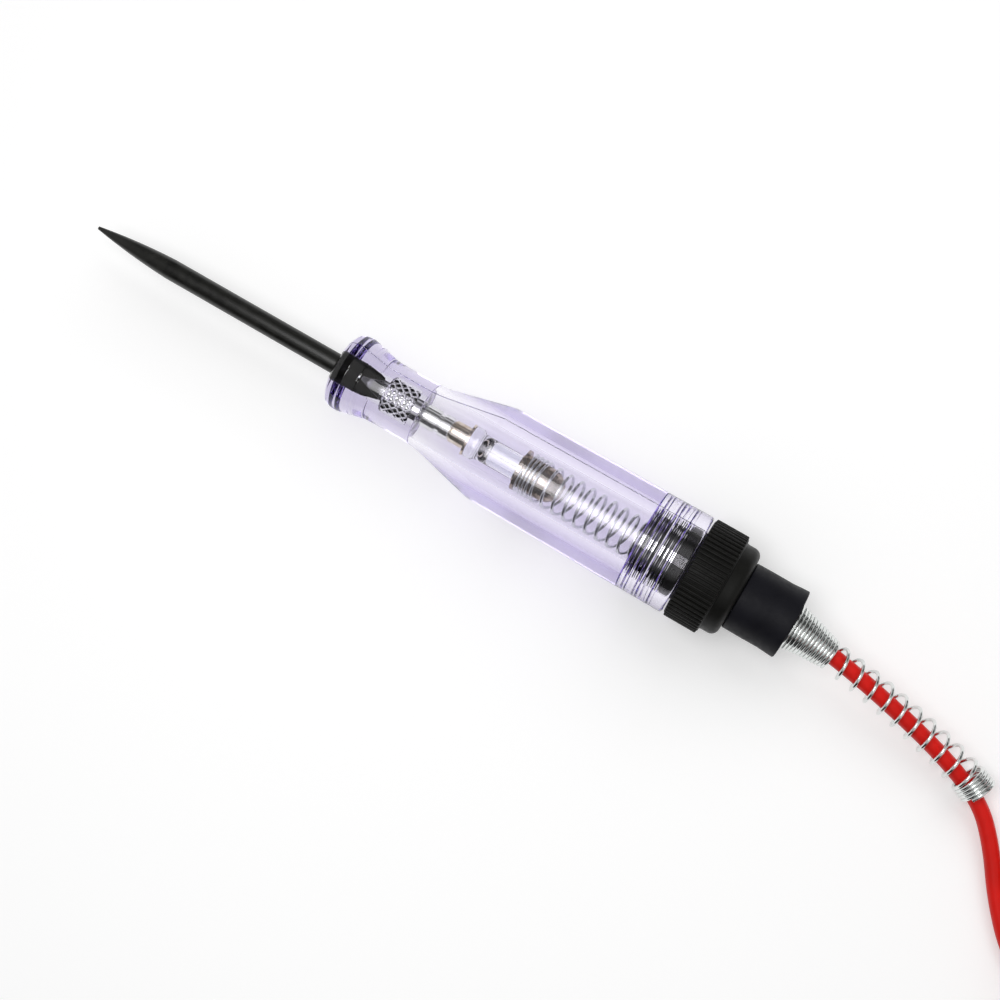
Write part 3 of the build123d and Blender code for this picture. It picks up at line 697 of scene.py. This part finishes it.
def makeProbeSteel(name, shine):
    # black oxide outside and a little way into the handle, where bright plating shows in tongues. Oxide and
    # plating are the rod's own finish, but where each shows round the rod is a painted reflection: bright
    # plating on top and at each quarter turn, black between
    material, tree = newMaterial(name)
    place = coordinates(tree)
    parts = addNode(tree, "SeparateXYZ", {"Vector": place}).outputs
    angle = calculate(tree, "ARCTAN2", parts["Y"], calculate(tree, "SUBTRACT", parts["Z"], axisHeight))
    # the angle round the rod places the plating tongues and the black: painted reflection, bright on top and
    # at each quarter turn
    wave = calculate(tree, "COSINE", calculate(tree, "MULTIPLY", angle, oxide["paintedReflectionRound"]))
    ragged = noise(tree, coordinates(tree, (0.3, 1, 1)), scale=800, detail=3, roughness=0.6)
    paintedReflectionTongue = calculate(tree, "MULTIPLY_ADD", wave, oxide["paintedReflectionTongues"] * mm, parts["X"])
    edge = calculate(tree, "MULTIPLY_ADD", ragged, oxide["ragged"] * mm, paintedReflectionTongue)
    border = faceX + oxide["ends"] + oxide["ragged"] / 2
    bright = spread(tree, edge, 0.0, 1.0, (border - oxide["edge"]) * mm, (border + oxide["edge"]) * mm)
    # on the knurl the tops of the diamonds stay black between the bright tongues: painted shade at the
    # diagonals, with the plating left bright on top as a painted reflection
    knurlX = rodEndX - probe["knurlLength"]
    along = calculate(tree, "MULTIPLY_ADD", parts["X"], 1 / (probe["diamondLength"] * mm),
                      -knurlX / probe["diamondLength"])
    turned = calculate(tree, "MULTIPLY", angle, probe["diamonds"] / math.tau)
    sets = []
    for slant in ("ADD", "SUBTRACT"):
        share = calculate(tree, "FRACT", calculate(tree, slant, turned, along))
        sets.append(calculate(tree, "ABSOLUTE", calculate(tree, "MULTIPLY_ADD", share, 2.0, -1.0)))
    groove = calculate(tree, "MAXIMUM", *sets)
    paintedShadeSide = calculate(tree, "MULTIPLY_ADD", ragged, oxide["paintedShadeRagged"], wave)
    black = calculate(tree, "MULTIPLY", spread(tree, groove, 1.0, 0.0, *oxide["flats"]),
                      spread(tree, paintedShadeSide, 1.0, 0.0, *oxide["sides"]))
    onKnurl = spread(tree, parts["X"], 0.0, 1.0, knurlX * mm, (knurlX + oxide["knurlEdge"]) * mm)
    coat = calculate(tree, "SUBTRACT", bright, calculate(tree, "MULTIPLY", black, onKnurl), use_clamp=True)
    cloud = noise(tree, place, scale=420, detail=5, roughness=0.62)
    scrape = noise(tree, coordinates(tree, (0.06, 1, 1)), scale=1500, detail=3, roughness=0.7)
    dark = mixColour(tree, spread(tree, cloud, 0.0, 1.0), oxide["black"], oxide["pale"])
    wear = spread(tree, scrape, 0.0, oxide["wornShare"], fromLow=0.62, fromHigh=0.80)
    hue = mixColour(tree, coat, mixColour(tree, wear, dark, oxide["worn"]), oxide["plating"])
    # a plain Mix node's own values are its sockets 2 and 3
    gloss = addNode(tree, "Mix", {0: coat, 2: spread(tree, cloud, *oxide["blackGloss"]),
                                  3: oxide["platingGloss"]}, data_type="FLOAT").outputs[0]
    body = principled(tree, {"Base Color": hue, "Metallic": coat, "Roughness": gloss,
                             "Specular IOR Level": shine,
                             "Normal": bump(tree, scrape, depth=0.02 * mm, strength=0.6)})
    finishMaterial(tree, body)
    return material


def probeOutline(knurlX):
    taper = []
    for ring in range(probe["taperRings"] + 1):
        share = ring / probe["taperRings"]
        swell = probe["belly"] * 4 * share * (1 - share)            # the whole belly halfway along
        radius = probe["point"] + (probe["shank"] - probe["point"]) * share + swell
        taper.append(Vector((tipX + probe["taper"] * share, radius)))
    rows = [Vector((knurlX + probe["knurlLength"] * row / probe["rows"], probe["knurl"]))
            for row in range(probe["rows"] + 1)]
    shank = [Vector(corner) for corner in (
        (faceX, probe["shank"]), (faceX + probe["step"], probe["root"]), (knurlX, probe["root"]))]
    return [Vector((tipX, 0))] + taper + shank + rows + [Vector((rodEndX, 0))]


def addProbe():
    knurlX = rodEndX - probe["knurlLength"]
    bm = bmesh.new()
    turn(bm, probeOutline(knurlX), probe["steps"], closed=False)
    for vert in bm.verts:
        angle, radius = around(vert)
        if radius > (probe["knurl"] + probe["root"]) / 2 * mm:
            # two sets of V grooves, slanted opposite ways, leave flat-topped diamonds
            fromKnurl, fromEnd = vert.co.x / mm - knurlX, rodEndX - vert.co.x / mm
            turned, along = angle / math.tau * probe["diamonds"], fromKnurl / probe["diamondLength"]
            groove = max(abs((turned + sign * along) % 1 - 0.5) for sign in (1, -1)) * 2
            cut = max(groove - probe["knurlFlat"], 0) / (1 - probe["knurlFlat"]) * probe["knurlDepth"]
            chamfer = max(probe["endChamfer"] - min(fromKnurl, fromEnd), 0) * probe["endSlope"]
            setRadius(vert, angle, radius - (cut + chamfer) * mm)
    rod = finishPiece("probeRod", bm, probeSteel, "handle", ["probe_rod"], 30)
    rod.data.materials.append(rootSteel)
    for face in rod.data.polygons:
        face.material_index = int(face.center.x > (faceX + probe["step"] / 2) * mm)


probeSteel = makeProbeSteel("probeSteel", 0.5)
rootSteel = makeProbeSteel("rootSteel", 0.03)       # inside the plastic nearly all gloss is lost
addProbe()
print("probe done")


# contact spring: tight turns behind the cup's flange, open turns to the cap
contactSpring = {
    "wire": 0.75, "outer": 5.4, "sides": 10, "stepsPerTurn": 24,
    # turns and pitch of each stretch, from the bulb to the cap; the open one fills what is left
    "front": (4.0, 1.25), "open": 13.0, "rear": (2.0, 0.68),
    "leans": (0.085, -0.22), "seat": 4.0,       # each turn leans sideways and forward, less so near an end
    "droop": 1.0,                               # how far its rear end lies to one side of its bore
}


def addContactSpring():
    low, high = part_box("contact_spring")
    wireRadius = contactSpring["wire"] / 2 * mm
    startX, endX = low.x + wireRadius, high.x - wireRadius
    radius = (contactSpring["outer"] - contactSpring["wire"] / 2) * mm
    front, rear = ((turns, pitch * mm) for turns, pitch in (contactSpring["front"], contactSpring["rear"]))
    openTurns = contactSpring["open"]
    openPitch = (endX - startX - front[0] * front[1] - rear[0] * rear[1]) / openTurns
    bm = bmesh.new()
    circle = bmesh.ops.create_circle(bm, segments=contactSpring["sides"], radius=wireRadius, cap_ends=True)
    section = circle["verts"]
    bmesh.ops.rotate(bm, verts=section, cent=(0, 0, 0), matrix=Matrix.Rotation(math.radians(90), 3, "X"))
    bmesh.ops.translate(bm, verts=section, vec=(startX, 0, axisHeight + radius))
    geometry = bm.faces[:]
    for turns, pitch in (front, (openTurns, openPitch), rear):
        steps = round(turns * contactSpring["stepsPerTurn"])
        made = bmesh.ops.spin(bm, geom=geometry, cent=(0, 0, axisHeight), axis=(1, 0, 0),
                              dvec=(turns * pitch / steps, 0, 0), angle=math.tau * turns, steps=steps,
                              use_duplicate=False)
        geometry = [part for part in made["geom_last"] if isinstance(part, bmesh.types.BMFace)]
    sideways, forward = contactSpring["leans"]
    for vert in bm.verts:
        seat = min(vert.co.x - low.x, high.x - vert.co.x) / (contactSpring["seat"] * mm)
        lean = vert.co.y * sideways + (vert.co.z - axisHeight) * forward
        vert.co.x += lean * min(max(seat, 0), 1)
        vert.co.y -= contactSpring["droop"] * mm * (vert.co.x - startX) / (endX - startX)
    spring = finishPiece("contactSpring", bm, springSteel, "lead_end", ["contact_spring"], 60)
    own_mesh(spring)


addContactSpring()
print("contact spring done")


# bulb glass: thin tube with a thick bead next to the front cap
bulb = {
    "bead": 4.0, "beadLength": 2.6, "beadRounds": (0.5, 1.2), "shoulder": 0.4, "shoulderRound": 0.5,
    "tube": 3.3, "wall": 0.45, "floorRound": 2.6, "steps": 72,
}


def addBulbGlass():
    low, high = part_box("bulb_glass")
    startX, endX = low.x / mm, high.x / mm
    beadX = startX + bulb["beadLength"]
    tubeX = beadX + bulb["shoulder"]
    inner = bulb["tube"] - bulb["wall"]
    outline = rounded([
        (startX, 0), (startX, bulb["bead"], bulb["beadRounds"][0]),
        (beadX, bulb["bead"], bulb["beadRounds"][1]),
        (tubeX, bulb["tube"], bulb["shoulderRound"]), (endX, bulb["tube"]), (endX, inner),
        (tubeX, inner, bulb["floorRound"]), (tubeX, 0),
    ], steps=8)
    bm = bmesh.new()
    turn(bm, outline, bulb["steps"], closed=False)
    finishPiece("bulbGlass", bm, clearGlass, "bulb", ["bulb_glass"])


addBulbGlass()
print("bulb done")


# end cap: threaded spigot, ridged ring, rounded collar
endCap = {
    "bore": 6.0, "spigot": 8.55, "spigotRound": 0.5,
    "plain": 8.9, "plainFrom": (3.2, 2.9),      # the wider part past the thread: where it starts and is full
    "gap": 0.4, "ring": 12.55, "ringLength": 9.1, "ringEdge": 0.6,      # the gap is between handle and ring
    "collar": 11.4, "collarLength": 4.2, "collarRound": 2.0,
    "foot": (0.6, 0.1, 0.3),                    # where the collar meets the ring: length, height, rounding
    "neck": 7.5, "neckLength": 7.7, "steps": 120,
    "ridges": 60, "ridgeWidth": 0.80, "ridgeHeight": 0.44, "ridgeInset": 0.25, "ridgeRound": 0.32,
    "crest": 9.12, "threadFrom": 1.0, "threadTurns": 7.6, "pitch": 1.0, "threadHalf": 0.4, "threadSink": 0.1,
    "threadSteps": 72,
}


def addRidges(bm, startX, endX):
    # one rounded ridge along the ring, copied all round it
    bar = bmesh.ops.create_cube(bm, size=1.0)["verts"]
    length = endCap["ringLength"] - 2 * endCap["ridgeInset"]
    size = Vector((length, endCap["ridgeWidth"], 2 * endCap["ridgeHeight"])) * mm
    bmesh.ops.scale(bm, verts=bar, vec=size)
    bmesh.ops.translate(bm, verts=bar, vec=((startX + endX) / 2 * mm, 0, axisHeight + endCap["ring"] * mm))
    edges = [edge for edge in bm.edges if edge.verts[0] in bar and edge.verts[1] in bar]
    made = bmesh.ops.bevel(bm, geom=edges, offset=endCap["ridgeRound"] * mm, segments=3, profile=0.5,
                           affect="EDGES", material=-1)
    bar = {vert for face in made["faces"] for vert in face.verts}
    barFaces = list({face for vert in bar for face in vert.link_faces})
    for ridge in range(1, endCap["ridges"]):
        copy = bmesh.ops.duplicate(bm, geom=barFaces)["geom"]
        verts = [part for part in copy if isinstance(part, bmesh.types.BMVert)]
        bmesh.ops.rotate(bm, verts=verts, cent=(0, 0, axisHeight),
                         matrix=Matrix.Rotation(math.tau * ridge / endCap["ridges"], 3, "X"))


def addCapThread(bm, startX):
    # a sharp ridge wound round the spigot
    half, foot = endCap["threadHalf"], endCap["spigot"] - endCap["threadSink"]
    peak = [(startX - half, foot), (startX, endCap["crest"]), (startX + half, foot)]
    face = bm.faces.new([bm.verts.new((x * mm, 0, axisHeight + radius * mm)) for x, radius in peak])
    turns = endCap["threadTurns"]
    steps = round(turns * endCap["threadSteps"])
    bmesh.ops.spin(bm, geom=[face], cent=(0, 0, axisHeight), axis=(1, 0, 0), steps=steps,
                   dvec=(turns * endCap["pitch"] * mm / steps, 0, 0), angle=math.tau * turns,
                   use_duplicate=False)


def addEndCap():
    frontX = station("end_cap", 0)
    ringX = handleEndX + endCap["gap"]
    collarX = ringX + endCap["ringLength"]
    neckX = collarX + endCap["collarLength"]
    endX = neckX + endCap["neckLength"]
    plainX, plainFullX = (handleEndX - before for before in endCap["plainFrom"])
    footLength, footHeight, footRound = endCap["foot"]
    outline = rounded([
        (frontX, endCap["bore"]), (frontX, endCap["spigot"], endCap["spigotRound"]),
        (plainX, endCap["spigot"]), (plainFullX, endCap["plain"]), (ringX, endCap["plain"]),
        (ringX, endCap["ring"], endCap["ringEdge"]), (collarX, endCap["ring"], endCap["ringEdge"]),
        (collarX, endCap["collar"] + footHeight, footRound), (collarX + footLength, endCap["collar"]),
        (neckX, endCap["collar"], endCap["collarRound"]), (neckX, endCap["neck"]),
        (endX, endCap["neck"]), (endX, endCap["bore"]),
    ])
    bm = bmesh.new()
    turn(bm, outline, endCap["steps"])
    addRidges(bm, ringX, collarX)
    addCapThread(bm, frontX + endCap["threadFrom"])
    finishPiece("screwCap", bm, blackPlastic, "screw_cap", ["end_cap"])


addEndCap()
print("end cap done")


# sleeve: soft tube pushed over the cap's neck, a little wider at its open end
sleeve = {
    "bore": 7.56, "wall": 1.0, "lip": 0.3, "neckLength": 7.6, "steps": 96,
    # its skin swells a little on the neck, dips past it and flares at the end: height, place, rounding
    "swell": (0.05, -3, 6), "dip": (0, 2, 6), "flare": 0.28, "flareFrom": (0.6, -2, 5),
}


def addSleeve():
    neckX = sleeveX + sleeve["neckLength"]
    bore, flare, lip = sleeve["bore"], sleeve["flare"], sleeve["lip"]
    outer = bore + sleeve["wall"]
    skin = [(neckX + along, outer + height, bend) for height, along, bend in (sleeve["swell"], sleeve["dip"])]
    share, along, bend = sleeve["flareFrom"]            # here the height is a share of the flare
    skin.append((sleeveEndX + along, outer + flare * share, bend))
    outline = rounded([(sleeveX, bore), (sleeveX, outer, lip), *skin, (sleeveEndX, outer + flare, lip),
                       (sleeveEndX, bore + flare, lip), (neckX, bore)], steps=5)
    bm = bmesh.new()
    turn(bm, outline, sleeve["steps"])
    finishPiece("capSleeve", bm, blackSleeve, "screw_cap", ["cap_sleeve"])


addSleeve()
print("sleeve done")


# parts that keep their own shape and get a finish
finishes = {
    "contact_stud": platedSteel, "bulb_front_cap": bulbBrass, "bulb_rear_cap": cupMetal,
    "bulb_front_wire": tungsten, "bulb_rear_wire": tungsten, "bulb_filament": tungsten,
    "contact_cup": cupMetal, "contact_disc": bulbBrass, "lead_terminal": bulbBrass,
    "clip_fixed_jaw": clipSteel, "clip_moving_jaw": clipSteel, "clip_pivot": clipSteel,
    "clip_lever_grip": redVinyl,
}
for name, material in finishes.items():
    node = frame["nodes"][name]
    node.data.materials.clear()
    node.data.materials.append(material)
print("finishes done")
